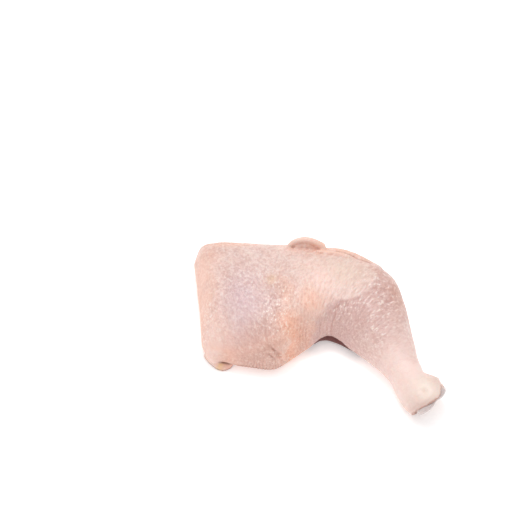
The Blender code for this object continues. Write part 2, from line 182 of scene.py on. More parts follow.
# The shin bone: from the hock to the knee, then (share of the length, width, depth)
BONE_HOCK = np.array((0.0734, -0.0760, 0.0132))
BONE_KNEE = np.array((0.0310, -0.0020, 0.0200))
BONE_PROFILE = ((0.00, 0.0264, 0.0228), (0.05, 0.0262, 0.0224), (0.12, 0.0195, 0.0155),
                (0.22, 0.0120, 0.0110), (0.34, 0.0088, 0.0088), (0.70, 0.0088, 0.0088),
                (0.88, 0.0120, 0.0115), (1.00, 0.0140, 0.0130))
BONE_END_BULGE = 0.0038
BONE_END_SQUARENESS = 0.55       # 1 would make the end a plain half ellipse
BONE_GROOVE = 0.16               # share of the depth that the knuckle is hollowed by
BONE_END_GROOVE = 0.0014         # depth and half width of the groove across its end
BONE_END_GROOVE_WIDTH = 0.0036

# The painted shadow under the web: a roll low behind its edge, coloured dark; and the height of
# the painted contact shadow where the skin meets what it lies on
UNDER_WEB_PATH = ((-0.0078, -0.0196, 0.0032), (-0.0010, -0.0142, 0.0040), (0.0050, -0.0135, 0.0040),
                  (0.0110, -0.0158, 0.0040), (0.0168, -0.0198, 0.0034), (0.0215, -0.0237, 0.0028),
                  (0.0245, -0.0264, 0.0024))
UNDER_WEB_RADII = (0.0026, 0.0038, 0.0040, 0.0038, 0.0028, 0.0020, 0.0012)
UNDER_WEB_REACH = 0.0058
CONTACT_HEIGHT = 0.0016
CONTACT_SHARE = 0.5

# Rounds of easing, and where the hull is softened after it: line, reach and strength
HEM_FOOT = np.array(HEM_PATH) - (0, 0.002, 0.001)
EASE_ROUNDS, SOFTEN_ROUNDS = 4, 10
SOFT_LINES = (((EAR_START, EAR_END), 0.0045, 1.0), (HEM_FOOT, 0.0030, 0.3), (TUCK_SEAM, 0.0050, 1.0))

# Layers of noise: size of the lattice, share and seed. Those of the strokes lie along the leg,
# across it and up.
STROKES = (((0.0016, 0.0070, 0.0300), 1.0, 11), ((0.0011, 0.0040, 0.0200), 0.6, 12))
PUCKERS = ((0.0060, 1.0, 13), (0.0032, 0.55, 14))
BROAD = ((0.0150, 0.9, 15),)
LAP_UNEVEN = ((0.0040, 0.0012, 24), (0.0015, 0.0008, 25))
LAP_BLEND = 0.0018               # half the width over which the two skins' tints meet
TINT_UNEVEN = 0.004              # how far the edges of the tints wander, and over what distance
TINT_LATTICE = 0.012
TINT_SEEDS = (21, 22, 23)

# Where the skin is stretched round the notch, with the finest strokes
STRETCHED, STRETCH_REACH = (0.004, -0.012), 0.026

# Pleats: middle, reach, spacing, strength, and the layer of noise that their lines waver by
Pleats = namedtuple("Pleats", "middle reach spacing strength waver")
NOTCH_PLEATS = Pleats((-0.013, -0.018), (0.009, 0.015), 0.0032, 0.5, ((0.008, 0.0016, 16),))
EDGE_PLEATS = Pleats((-0.040, -0.044, 0.009), (0.014, 0.008, 0.008), 0.0024, 0.9,
                     ((0.006, 0.0010, 18),))

# The groove inside the thigh's back edge: its share across the leg, half width and depth, the
# stretches along the leg over which it starts and ends, and the heights over which it fades in
BACK_GROOVE, BACK_GROOVE_WIDTH, BACK_GROOVE_DEPTH = 0.90, 0.022, 1.8
BACK_GROOVE_START, BACK_GROOVE_END, BACK_GROOVE_LOW = (0.004, 0.012), (0.030, 0.046), (0.016, 0.020)

# Heights over which relief and wrinkles fade in above the floor, and the distance from the middle
# over which the puckers deepen towards the cut side
RELIEF_FOOT, WRINKLE_FOOT, CUT_MARGIN = (0.001, 0.007), (0.0005, 0.006), (0.066, 0.080)

# What the material reads to paint shade: rounds of easing and depth of the wide hollows and fine
# grooves that it darkens, and the half widths of the painted shade lines in the creases and of the
# painted shadow along the thigh's lower edge
HOLLOW_ROUNDS, HOLLOW_DEPTH = 14, 0.0006
GROOVE_ROUNDS, GROOVE_DEPTH = 3, 0.00010
CREASE_LINE, EDGE_SHADOW_LINE = 0.0008, 0.0009

# Where the tints of the skin lie, with its painted shade, highlight and glints: patches seen from
# above, each with its middle, reach, turn in degrees and strength
TINTS = {
    "violet": (
        ((-0.054, -0.010), (0.016, 0.028), 6, 1.0),
        ((-0.047, -0.030), (0.012, 0.012), 0, 0.6),
    ),
    "mauve": (
        ((0.020, -0.016), (0.026, 0.020), -30, 1.35),
        ((0.046, -0.006), (0.014, 0.022), 10, 1.2),
        ((0.044, -0.030), (0.012, 0.018), 20, 1.1),
        ((0.000, -0.026), (0.014, 0.012), 0, 1.3),
    ),
    "peach": (
        ((-0.088, 0.000), (0.014, 0.060), 4, 0.7),
        ((-0.062, -0.040), (0.040, 0.010), 0, 0.9),
        ((-0.020, -0.034), (0.016, 0.018), 0, 1.0),
        ((-0.024, -0.006), (0.006, 0.018), 20, 0.5),
        ((-0.006, -0.008), (0.010, 0.010), 0, 0.8),
        ((-0.010, -0.027), (0.006, 0.008), 0, 1.0),
        ((0.015, 0.036), (0.040, 0.006), -10, 0.6),
        ((-0.040, 0.053), (0.050, 0.006), 0, 0.8),
    ),
    "cream_and_highlight": (
        ((0.016, 0.016), (0.022, 0.014), -10, 1.0),
        # painted highlight on the bulge right of the crease
        ((-0.0262, -0.0400), (0.0022, 0.0050), -20, 0.7),
    ),
    "pale": (
        ((-0.002, 0.007), (0.013, 0.013), 0, 1.1),
        ((-0.0775, -0.0400), (0.007, 0.006), 0, 1.0),
        ((-0.075, -0.028), (0.010, 0.012), 0, 0.6),
    ),
    "shank": (
        ((0.054, -0.056), (0.018, 0.024), 30, 1.0),
    ),
    "knuckle": (
        ((0.071, -0.074), (0.014, 0.013), 0, 1.0),
    ),
    # painted shade where the skin turns from the light or lies low: the thigh's lower front, the
    # notch, a furrow, the calf's far side and top, the knuckle's right edge
    "painted_shade": (
        ((-0.048, -0.0440), (0.028, 0.0050), 0, 0.8),
        ((-0.044, -0.030), (0.012, 0.010), 0, 0.6),
        ((-0.030, 0.003), (0.008, 0.010), 0, 0.40),
        ((0.054, 0.002), (0.010, 0.016), 10, 1.0),
        ((0.041, 0.016), (0.007, 0.007), 0, 0.8),
        ((-0.011, -0.029), (0.005, 0.007), 0, 0.7),
        ((0.0785, -0.0680), (0.004, 0.010), 20, 0.35),
        ((-0.072, -0.020), (0.002, 0.030), 4, 0.25),
    ),
    # painted light: the ear is coloured lighter than the skin, to lift the shade inside it
    "ear": (
        ((-0.010, 0.047), (0.020, 0.008), 0, 1.0),
    ),
    "tan": (
        ((-0.0708, -0.0416), (0.0020, 0.0034), 0, 0.75),
        ((-0.0372, 0.0079), (0.004, 0.003), 0, 0.35),
    ),
    # painted glints: zones where white specks are painted on the tops of the lumps
    "painted_glints": (
        ((-0.031, -0.018), (0.011, 0.017), 0, 1.0),
        ((0.036, -0.004), (0.012, 0.014), 0, 0.7),
        ((0.041, -0.028), (0.010, 0.016), 0, 0.7),
        ((0.014, -0.013), (0.012, 0.006), 0, 0.5),
        ((-0.080, -0.018), (0.008, 0.016), 0, 0.6),
        ((-0.056, 0.008), (0.018, 0.012), 0, 0.3),
    ),
    "calm": (
        ((0.058, -0.060), (0.020, 0.024), 30, 1.0),
        ((0.070, -0.076), (0.016, 0.016), 0, 1.0),
        ((-0.074, -0.036), (0.012, 0.010), 0, 0.9),
        ((-0.010, 0.048), (0.026, 0.009), 0, 1.0),
        ((0.002, -0.012), (0.008, 0.008), 0, 0.8),
        ((0.026, 0.037), (0.026, 0.006), -15, 0.8),
        ((-0.088, 0.000), (0.010, 0.060), 4, 0.6),
        ((0.010, 0.012), (0.024, 0.018), -10, 0.5),
    ),
}


def linear(red, green, blue):
    """A colour of 0 to 255 a channel as the linear values that the shaders take."""
    share = np.array((red, green, blue)) / 255
    low, high = share / 12.92, ((share + 0.055) / 1.055) ** 2.4
    return tuple(float(value) for value in np.where(share <= 0.04045, low, high))


def smooth(value, low, high):
    """0 below low, 1 above high, and 3t^2 - 2t^3 of the share t between them."""
    t = np.clip((value - low) / (high - low), 0, 1)
    return t * t * (3 - 2 * t)


def bell(away):
    """exp(-r^2) of each number."""
    return np.exp(-(away**2))


def blob(points, middle, reach):
    """exp(-r^2) of each point's distance from a middle, measured in reaches along each axis."""
    away = (points[:, :len(middle)] - np.array(middle)) / np.array(reach)
    return np.exp(-(away**2).sum(1))


def unit(vectors):
    """The vectors in the array's last direction, made 1 long."""
    return vectors / np.linalg.norm(vectors, axis=-1, keepdims=True)


def through(knots, values, at):
    """Cubic Hermite curve through values at the knots, its slopes the central differences."""
    knots = np.asarray(knots, float)
    values = np.asarray(values, float)
    slopes = np.gradient(values, knots, axis=0)
    i = np.clip(np.searchsorted(knots, at, side="right") - 1, 0, len(knots) - 2)
    wide = (-1,) + (1,) * (values.ndim - 1)
    step = (knots[i + 1] - knots[i]).reshape(wide)
    t = ((at - knots[i]) / (knots[i + 1] - knots[i])).reshape(wide)
    start = (2 * t**3 - 3 * t**2 + 1) * values[i] + (t**3 - 2 * t**2 + t) * step * slopes[i]
    end = (3 * t**2 - 2 * t**3) * values[i + 1] + (t**3 - t**2) * step * slopes[i + 1]
    return start + end


def distance_to(points, path):
    """Least distance of each point from a path of straight runs, its side of it in plan, and
    the share of the runs that lies before the nearest place."""
    path = np.asarray(path, float)
    nearest = np.full(len(points), np.inf)
    side = np.zeros(len(points))
    share = np.zeros(len(points))
    for number, (start, end) in enumerate(zip(path[:-1], path[1:])):
        run = end - start
        t = np.clip((points - start) @ run / (run @ run), 0, 1)
        gap = points - start - t[:, None] * run
        distance = np.linalg.norm(gap, axis=1)
        closer = distance < nearest
        nearest = np.where(closer, distance, nearest)
        side = np.where(closer, run[0] * gap[:, 1] - run[1] * gap[:, 0], side)
        share = np.where(closer, (number + t) / (len(path) - 1), share)
    return nearest, np.sign(side), share


def noise(points, size, seed):
    """Smooth noise from -1 to 1: random values on a lattice of that size, eased between them."""
    lattice = np.random.default_rng(seed).uniform(-1, 1, (32, 32, 32))
    place = points / np.asarray(size, float)
    cell = np.floor(place).astype(int)
    t = place - cell
    t = t * t * (3 - 2 * t)
    total = np.zeros(len(points))
    for corner in np.ndindex(2, 2, 2):
        share = np.prod(np.where(corner, t, 1 - t), axis=1)
        x, y, z = ((cell + corner) % 32).T
        total += share * lattice[x, y, z]
    return total


def layered(points, layers):
    """Sum of layers of noise."""
    return sum(share * noise(points, size, seed) for size, share, seed in layers)


def station_reader():
    """Distances of the stations along the leg, and all their values at any distances."""
    plan = np.array([station.front + station.back for station in STATIONS])
    middle = (plan[:, :2] + plan[:, 2:]) / 2
    steps = np.linalg.norm(np.diff(middle, axis=0), axis=1)
    knots = np.concatenate([[0], np.cumsum(np.maximum(steps, 0.006))])
    values = np.array([station.front + station.back + station[2:] for station in STATIONS])
    return knots, lambda places: through(knots, values, places)


def hock_lean(left, height):
    """How far outwards the slant of the cut carries a point that far from the hock."""
    return HOCK_LEAN * (1 - smooth(left, 0, HOCK_REACH)) * (height - HOCK_MIDDLE_HEIGHT)


def leg_loft(rows, around):
    """Grid of the leg: at each distance along it, a section from the front over the top and back.

    Across the section the share is -cos(angle); the top is edge + (crown - edge) sin^fullness,
    the underside edge - (edge - belly) min(1, flatness sin^roundness). Both shrink to a line at
    the cut side by the swell sqrt(1 - (1 - s)^2), and the hock end leans by the slant of the cut.
    The skin has drawn back from it, most at the back.
    """
    knots, read_at = station_reader()
    rounded = SIDE_ROUNDING * (1 - np.cos(np.linspace(0, np.pi / 2, rows // 8)))
    plain = np.linspace(SIDE_ROUNDING, knots[-1] - SKIN_SHRINK, rows - rows // 8 + 1)[1:]
    places = np.concatenate([rounded, plain])
    read = read_at(places)
    front, back = read[:, 0:2], read[:, 2:4]
    front_height, back_height, crown, belly, fullness = read[:, 4:].T[:, :, None]
    swell = np.sqrt(1 - (1 - np.minimum(places / SIDE_ROUNDING, 1)) ** 2)[:, None]
    angle = np.arange(around) * 2 * np.pi / around
    across = -np.cos(angle)[None, :]
    rise = np.clip(np.sin(angle), 0, 1)[None, :]
    fall = np.clip(-np.sin(angle), 0, 1)[None, :]
    edge = front_height + (back_height - front_height) * (across + 1) / 2
    top = edge + (crown - edge) * rise**fullness * swell
    under = edge - (edge - belly) * np.minimum(1, BELLY_FLATNESS * fall**BELLY_ROUNDNESS) * swell
    height = np.where(np.sin(angle)[None, :] > 0, top, under)
    half = (back - front) / 2 * (1 - SIDE_CORNERS * (1 - swell))
    place = ((front + back) / 2)[:, None, :] + half[:, None, :] * across[..., None]
    outwards = unit(np.stack([half[:, 1], -half[:, 0]], -1))
    left = (knots[-1] - places)[:, None]
    bow = HOCK_BOW * (1 - smooth(left, 0, HOCK_REACH / 2)) * (1 - across**2)
    drawn = SKIN_SHRINK_BEHIND * (1 - smooth(left, 0, HOCK_REACH / 2)) * smooth(across, -0.2, 0.7)
    place = place + outwards[:, None, :] * (hock_lean(left, height) + bow - drawn)[..., None]
    return np.concatenate([place, np.maximum(height, 0)[..., None]], -1)


def grid_normals(grid):
    """Unit normals, facing out, of a grid that closes round its second direction."""
    along = np.gradient(grid, axis=0)
    around = np.roll(grid, -1, 1) - np.roll(grid, 1, 1)
    normals = np.cross(along, around)
    return normals / np.maximum(np.linalg.norm(normals, axis=2, keepdims=True), 1e-12)


def relief(points):
    """Sum of the swellings, each height exp(-r^2), of the creases and of the step of the lap."""
    out = sum(height * blob(points, middle, reach) for middle, reach, height in SWELLINGS)
    for path, half_width, depth in CREASES:
        away, _, share = distance_to(points, path)
        away = away / half_width
        depth = depth * smooth(share, 0, 0.20) * (1 - 0.6 * smooth(share, 0.8, 1))
        out += depth * (0.30 * bell(away - 2.2) - bell(away))
    away, side, _ = distance_to(points[:, :2], LAP_PATH)
    away = away * side
    lap = LAP_HEIGHT * smooth(away, -LAP_EDGE, 0) * np.exp(-np.maximum(away, 0) / LAP_FADE)
    out += lap * smooth(points[:, 2], *LAP_LOW)
    return out * smooth(points[:, 2], *RELIEF_FOOT)


def leg_shell():
    """The leg's loft pushed out by its relief, with the flesh of the hock set back in its end."""
    grid = leg_loft(rows=280, around=200)
    heights = relief(grid.reshape(-1, 3)).reshape(grid.shape[:2])
    grid = grid + grid_normals(grid) * heights[..., None]
    opposite = -np.arange(grid.shape[1]) % grid.shape[1]
    grid[0] = (grid[0] + grid[0, opposite]) / 2
    rim = grid[-1]
    inwards = SOCKET_DEPTH * unit(BONE_KNEE - BONE_HOCK)
    middle = rim.mean(0)
    inner = [middle + share * (rim - middle) + depth * inwards for share, depth in SOCKET_RINGS]
    grid = np.concatenate([grid, np.array(inner)])
    return closed_grid(grid, None, middle + inwards)


def closed_grid(grid, first_pole, last_pole):
    """Points and faces of a grid closed round its second direction, fanned to its poles."""
    rows, around = grid.shape[:2]
    column = np.arange(around)
    after = (column + 1) % around
    low = (np.arange(rows - 1) * around)[:, None]
    quads = np.stack([low + column, low + around + column, low + around + after, low + after], -1)
    faces = quads.reshape(-1, 4).tolist()
    points = grid.reshape(-1, 3)
    if first_pole is not None:
        faces += np.stack([column, after, np.full(around, len(points))], -1).tolist()
        points = np.concatenate([points, [first_pole]])
    if last_pole is not None:
        start = (rows - 1) * around
        faces += np.stack([start + after, start + column, np.full(around, len(points))], -1).tolist()
        points = np.concatenate([points, [last_pole]])
    return points, faces


def roll_of_skin(path, radii, around=20, steps=70):
    """A tube along a path: a circle of the read radius, which closes in round domes at both ends."""
    path = np.asarray(path, float)
    knots = np.concatenate([[0], np.cumsum(np.linalg.norm(np.diff(path, axis=0), axis=1))])
    places = knots[-1] * (1 - np.cos(np.linspace(0, np.pi, steps))) / 2
    middle = through(knots, path, places)
    radius = through(knots, radii, places)
    ends = np.minimum(places, knots[-1] - places) / ROLL_END
    radius = radius * np.sqrt(np.clip(1 - (1 - np.minimum(ends, 1)) ** 2, 0.04, 1))
    ahead = unit(np.gradient(middle, axis=0))
    side = unit(np.cross(ahead, (0, 0, 1)))
    up = np.cross(side, ahead)
    angle = np.arange(around) * 2 * np.pi / around
    ring = side[:, None] * np.cos(angle)[:, None] + up[:, None] * np.sin(angle)[:, None]
    return closed_grid(middle[:, None] + radius[:, None, None] * ring, middle[0], middle[-1])


def ear_leaf():
    """The ear's front, base + share along + rise; it leans back, then curls to the front by rise^3.

    Its height follows sin(pi share)^0.6, higher at the start. The back is the front set back
    by the thickness.
    """
    share = np.linspace(0, 1, 46)[:, None]
    rise = np.linspace(-0.30, 1, 26)[None, :]
    arch = np.sin(np.pi * share) ** 0.6 * (1 - 0.30 * share)
    up = EAR_HEIGHT * rise * np.where(rise > 0, arch, 1)
    back = EAR_LEAN * arch * np.sin(np.pi * 0.75 * np.clip(rise, 0, 1))
    curl = EAR_CURL * arch * np.clip(rise, 0, 1) ** 3
    base = EAR_START + (EAR_END - EAR_START) * share
    front = np.stack([np.broadcast_to(base[:, 0:1], up.shape), base[:, 1:2] + back - curl,
                      base[:, 2:3] + up], -1)
    rear = front + np.array((0, EAR_THICKNESS, 0.0004))
    grid = np.concatenate([front, rear[:, ::-1]], 1)
    rim = (front[:, -1] + rear[:, -1]) / 2
    return closed_grid(grid, grid[0].mean(0), grid[-1].mean(0)), rim


def tuck_mound():
    """The tucked corner: rings from its middle to its outline, whose height falls as
    sqrt(1 - share^2)."""
    share = np.sin(np.linspace(0, np.pi / 2, 24))[1:]
    count = len(TUCK_OUTLINE)
    around = np.array(TUCK_OUTLINE * 3)
    ring = through(np.arange(3 * count), around, count + np.arange(60) * count / 60)
    plan = TUCK_MIDDLE + share[:, None, None] * (ring - TUCK_MIDDLE)
    height = TUCK_LIP + (TUCK_HEIGHT - TUCK_LIP) * np.sqrt(1 - share**2)[:, None, None]
    top = np.concatenate([plan, np.broadcast_to(height, plan.shape[:2] + (1,))], -1)
    grid = np.concatenate([top, top[-1:] * np.array((1, 1, 0))])
    return closed_grid(grid, np.append(TUCK_MIDDLE, TUCK_HEIGHT), np.append(TUCK_MIDDLE, 0.0))


def placed(name, data):
    """An object of that data, in the scene."""
    made = bpy.data.objects.new(name, data)
    bpy.context.scene.collection.objects.link(made)
    return made


def mesh_of(name, points, faces):
    """A mesh of those points and faces, moved from the sections' origin to the frame's."""
    mesh = bpy.data.meshes.new(name)
    mesh.from_pydata((points - MIDDLE).tolist(), [], faces)
    mesh.update()
    return mesh


def merged(name, shells, size):
    """One hull round several closed shells, as a mesh of cells of that size."""
    points, faces, count = [], [], 0
    for shell_points, shell_faces in shells:
        points.append(shell_points)
        faces += [[count + corner for corner in face] for face in shell_faces]
        count += len(shell_points)
    mesh = mesh_of(name, np.concatenate(points), faces)
    piece = placed(name, mesh)
    step = piece.modifiers.new("Merge", "REMESH")
    step.mode = "VOXEL"
    step.voxel_size = size
    graph = bpy.context.evaluated_depsgraph_get()
    hull = bpy.data.meshes.new_from_object(piece.evaluated_get(graph))
    piece.modifiers.clear()
    piece.data = hull
    bpy.data.meshes.remove(mesh)
    hull.name = name
    return piece


def read(items, name, kind, width):
    """What a mesh's items hold under that name, one row for each item."""
    values = np.empty(len(items) * width, kind)
    items.foreach_get(name, values)
    return values.reshape(-1, width)


def read_points(mesh):
    """The mesh's points, in the sections' coordinates."""
    return read(mesh.vertices, "co", np.float32, 3).astype(float) + MIDDLE


def write_points(mesh, points):
    """Puts changed points, in the sections' coordinates, back into the mesh."""
    mesh.vertices.foreach_set("co", (points - MIDDLE).astype(np.float32).ravel())
    mesh.update()


def read_normals(mesh):
    """Unit normals at the points."""
    return read(mesh.vertex_normals, "vector", np.float32, 3).astype(float)


def neighbour_mean(values, edges):
    """At each point, the mean of the values at the points it shares an edge with."""
    count = len(values)
    ends = np.concatenate([edges[:, 0], edges[:, 1]])
    others = np.concatenate([edges[:, 1], edges[:, 0]])
    number = np.maximum(np.bincount(ends, minlength=count), 1)
    columns = values.reshape(count, -1).T
    sums = [np.bincount(ends, column[others], minlength=count) for column in columns]
    return (np.array(sums) / number).T.reshape(values.shape)


def eased(points, edges, rounds):
    """Takes the steps out of the hull without shrinking it: moves in by 0.5, out by 0.53."""
    for _ in range(rounds):
        for amount in (0.5, -0.53):
            points = points + amount * (neighbour_mean(points, edges) - points)
    return points


def softened(points, edges, share, rounds):
    """Fills folds: each point goes half that share of the way to its neighbours' mean."""
    for _ in range(rounds):
        points = points + 0.5 * share[:, None] * (neighbour_mean(points, edges) - points)
    return points


def leg_coordinates(points):
    """Distance along the leg of the section through each point, and its share across it.

    The section is the one whose line in plan passes nearest the point, and the distance is
    read between it and the next by the point's distances from both lines.
    """
    knots, read_at = station_reader()
    places = np.linspace(-0.012, knots[-1] + 0.004, 420)
    read = read_at(places)
    front, back = read[:, 0:2], read[:, 2:4]
    run = back - front
    length = np.linalg.norm(run, axis=1)
    ahead = np.stack([run[:, 1], -run[:, 0]], -1) / length[:, None]
    along = np.empty(len(points))
    across = np.empty(len(points))
    for part in np.array_split(np.arange(len(points)), 24):
        gap = points[part, None, :2] - front
        off = (gap * ahead).sum(-1)
        share = 2 * (gap * run).sum(-1) / length**2 - 1
        near = np.abs(off) + 0.05 * np.maximum(np.abs(share) - 1.1, 0)
        k = np.clip(near.argmin(1), 1, len(places) - 2)
        row = np.arange(len(part))
        other = np.where(off[row, k] > 0, k + 1, k - 1)
        first, second = off[row, k], off[row, other]
        gone = np.clip(first / np.where(first == second, 1, first - second), 0, 1)
        along[part] = places[k] + gone * (places[other] - places[k])
        across[part] = share[row, k] + gone * (share[row, other] - share[row, k])
    return along, across, np.interp(along, places, length)


def wrinkles(points, along, across, width, depth):
    """Fine displacement: soft puckers, strokes drawn out along the sections, and pleats.

    The strokes are noise over (distance along, arc across), short along the leg and long
    across it, deepest where the skin is stretched round the notch. The pleats there and on the
    thigh's lower edge are cosines of the distance along, and a thin groove runs inside the
    thigh's back edge.
    """
    drawn = np.stack([along, across * width / 2, points[:, 2]], -1)
    stretched = blob(points, STRETCHED, STRETCH_REACH)
    margin = smooth(-points[:, 0], *CUT_MARGIN)
    out = 0.30 * layered(drawn, STROKES) * (0.35 + 1.6 * stretched)
    out += 0.42 * layered(points, PUCKERS) * (0.7 + 0.6 * margin) + layered(points, BROAD)
    out += pleated(points, along, NOTCH_PLEATS) * (0.6 + 0.6 * noise(points, 0.010, 17))
    out += pleated(points, along, EDGE_PLEATS)
    groove = bell((across - BACK_GROOVE) / BACK_GROOVE_WIDTH) * smooth(along, *BACK_GROOVE_START)
    groove = groove * (1 - smooth(along, *BACK_GROOVE_END)) * smooth(points[:, 2], *BACK_GROOVE_LOW)
    out -= BACK_GROOVE_DEPTH * groove
    return depth * out * smooth(points[:, 2], *WRINKLE_FOOT)


def pleated(points, along, pleats):
    """Cosine of the distance along the leg, its lines wavering, fading from the pleats' middle."""
    wave = np.cos(2 * np.pi * (along + layered(points, pleats.waver)) / pleats.spacing)
    return pleats.strength * wave * blob(points, pleats.middle, pleats.reach)


def drumstick_share(points):
    """1 on the drumstick's side of the lap's edge, 0 on the thigh's, along an uneven line."""
    away, side, _ = distance_to(points[:, :2], LAP_PATH)
    return smooth(layered(points, LAP_UNEVEN) - away * side, -LAP_BLEND, LAP_BLEND)


def wandered(points):
    """The points moved by smooth noise, which makes the edges of the tints uneven."""
    moves = [noise(points, TINT_LATTICE, seed) for seed in TINT_SEEDS]
    return points + TINT_UNEVEN * np.stack(moves, -1)


def patches(points, name):
    """Greatest of a tint's patches, each strength exp(-r^2), and 1 at most."""
    total = np.zeros(len(points))
    for middle, reach, turn, strength in TINTS[name]:
        turn = np.radians(turn)
        x, y = (points[:, :2] - np.array(middle)).T
        turned = np.stack([x * np.cos(turn) + y * np.sin(turn),
                           y * np.cos(turn) - x * np.sin(turn)], -1)
        total = np.maximum(total, strength * blob(turned, (0, 0), reach))
    return np.minimum(total, 1)


def shadowed(points):
    """1 on the painted shadow under the web, and less on the painted contact shadow along the line
    where the skin meets what it lies on."""
    web = smooth(UNDER_WEB_REACH - distance_to(points, UNDER_WEB_PATH)[0], 0, 0.0012)
    contact = smooth(CONTACT_HEIGHT - points[:, 2], -0.0010, 0.0010)
    return np.maximum(web, CONTACT_SHARE * contact)


def hollows(points, edges, normals, rounds, depth):
    """How far each point lies below its surroundings: the eased hull less the point, -1 to 1."""
    wide = points
    for _ in range(rounds):
        wide = neighbour_mean(wide, edges)
    return np.clip(((wide - points) * normals).sum(1) / depth, -1, 1)


def put_values(mesh, name, values):
    """Stores a number or a vector for each point under that name, for the material to read."""
    kind, field = ("FLOAT", "value") if values.ndim == 1 else ("FLOAT_VECTOR", "vector")
    store = mesh.attributes.new(name, kind, "POINT")
    store.data.foreach_set(field, values.astype(np.float32).ravel())


def skin_hull(cell):
    """The leg, ear, tuck, rolls of loose skin and the roll that carries the painted shadow under the
    web, merged into one hull, eased and softened.
    """
    leaf, rim = ear_leaf()
    rim_radii = EAR_RIM * np.linspace(0.7, 1.3, len(rim))
    rolls = ((rim[1:-1], rim_radii[1:-1]), (EAR_FOLD_PATH, EAR_FOLD_RADII), (HEM_PATH, HEM_RADII),
             (HEM_FOLD_PATH, HEM_FOLD_RADII), (UNDER_WEB_PATH, UNDER_WEB_RADII))
    shells = [leg_shell(), leaf, tuck_mound()]
    shells += [roll_of_skin(path, radii) for path, radii in rolls]
    piece = merged("skin", shells, cell)
    edges = read(piece.data.edges, "vertices", np.int32, 2)
    points = eased(read_points(piece.data), edges, EASE_ROUNDS)
    share = np.max([strength * bell(distance_to(points, line)[0] / reach)
                    for line, reach, strength in SOFT_LINES], axis=0)
    write_points(piece.data, softened(points, edges, share, SOFTEN_ROUNDS))
    return piece, edges


def build_skin(settings):
    """The skin: its hull, wrinkled, and given the values its material reads."""
    piece, edges = skin_hull(settings.cell)
    mesh = piece.data
    points = read_points(mesh)
    along, across, width = leg_coordinates(points)
    out = wrinkles(points, along, across, width, settings.wrinkle_depth)
    points = points + read_normals(mesh) * out[:, None]
    points[:, 2] = np.maximum(points[:, 2], 0)
    write_points(mesh, points)
    normals = read_normals(mesh)
    height = points[:, 2]
    beyond = drumstick_share(points)
    masks = {"mauve": beyond, "cream_and_highlight": 1 - beyond, "pale": 1 - beyond,
             "ear": smooth(height, 0.030, 0.038),
             "tan": 1 - smooth(height, 0.0060, 0.0085) * smooth(0.030 - height, 0, 0.005)}
    uneven = wandered(points)
    for name in TINTS:
        put_values(mesh, name, patches(uneven, name) * masks.get(name, 1))
    # painted shadow: dark under the web and, weaker, where the skin meets the floor
    put_values(mesh, "under", shadowed(points))
    # painted shade: how far each point lies in a hollow, which the material darkens
    put_values(mesh, "hollow", hollows(points, edges, normals, HOLLOW_ROUNDS, HOLLOW_DEPTH))
    put_values(mesh, "groove", hollows(points, edges, normals, GROOVE_ROUNDS, GROOVE_DEPTH))
    # painted shade: a dark line along the bottom of each crease
    lines = [bell(distance_to(points, path)[0] / CREASE_LINE) for path, _, _ in CREASES]
    put_values(mesh, "crease", np.max(lines, axis=0))
    # painted shadow along the thigh's lower edge, weaker towards the notch
    away, _, share = distance_to(points, EDGE_SHADOW_PATH)
    put_values(mesh, "seam", bell(away / EDGE_SHADOW_LINE) * (1 - 0.4 * smooth(share, 0.1, 0.6)))
    outwards = unit(BONE_HOCK - BONE_KNEE)
    cut = smooth((points - BONE_HOCK) @ outwards, -0.006, 0) * smooth(normals @ outwards, 0.1, 0.6)
    put_values(mesh, "cut", cut)
    drawn = across * width / 2 * (0.75 - 0.35 * smooth(along, 0.070, 0.110))
    put_values(mesh, "grain", np.stack([along, drawn, height], -1))
    mesh.shade_smooth()
    return piece


def dome(ring, direction, bulge, squareness=1.0, groove_side=None, steps=24):
    """Rings that close an end, in by cos^squareness and out by sin; a groove parts it."""
    middle = ring.mean(0)
    turn = (np.arange(1, steps) * np.pi / 2 / steps)[:, None, None]
    share = np.cos(turn) ** squareness
    rings = middle + share * (ring - middle) + np.sin(turn) * bulge * direction
    pole = middle + bulge * direction
    if groove_side is not None:
        off = (rings - middle) @ groove_side
        groove = BONE_END_GROOVE * bell(off / BONE_END_GROOVE_WIDTH)[..., None] * np.sin(turn)
        rings = rings - groove * direction
        pole = pole - BONE_END_GROOVE * direction
    return rings, pole


def build_gristle():
    """The shin bone: ellipses along its axis, grooved at the hock, domed at both ends."""
    length = np.linalg.norm(BONE_KNEE - BONE_HOCK)
    inwards = (BONE_KNEE - BONE_HOCK) / length
    side = unit(np.cross(inwards, (0, 0, 1)))
    up = np.cross(side, inwards)
    profile = np.array(BONE_PROFILE)
    share = (1 - np.cos(np.linspace(0, np.pi, 120))) / 2
    size = through(profile[:, 0], profile[:, 1:], share) / 2
    angle = np.arange(96) * 2 * np.pi / 96
    knuckle = (1 - smooth(share, 0.0, 0.16))[:, None]
    across = size[:, 0:1] * np.cos(angle)
    rise = size[:, 1:2] * np.sin(angle) * (1 - BONE_GROOVE * knuckle * np.sin(angle) ** 6)
    middle = BONE_HOCK + share[:, None] * length * inwards
    grid = middle[:, None] + across[..., None] * side + rise[..., None] * up
    left = (share * length)[:, None]
    skew = HOCK_SKEW * (1 - smooth(left, 0, HOCK_REACH)) * across
    level = np.cross((0, 0, 1), side)
    grid = grid + (skew - hock_lean(left, grid[..., 2]))[..., None] * level
    hock, hock_pole = dome(grid[0], -level, BONE_END_BULGE, BONE_END_SQUARENESS, side)
    knee, knee_pole = dome(grid[-1], inwards, BONE_END_BULGE)
    points, faces = closed_grid(np.concatenate([hock[::-1], grid, knee]), hock_pole, knee_pole)
    mesh = mesh_of("gristle", points, faces)
    piece = placed("gristle", mesh)
    points = points + read_normals(mesh) * 0.00012 * noise(points, 0.0025, 31)[:, None]
    write_points(mesh, points)
    put_values(mesh, "worn", smooth((BONE_HOCK - points) @ inwards, -0.004, 0.001))
    mesh.shade_smooth()
    return piece


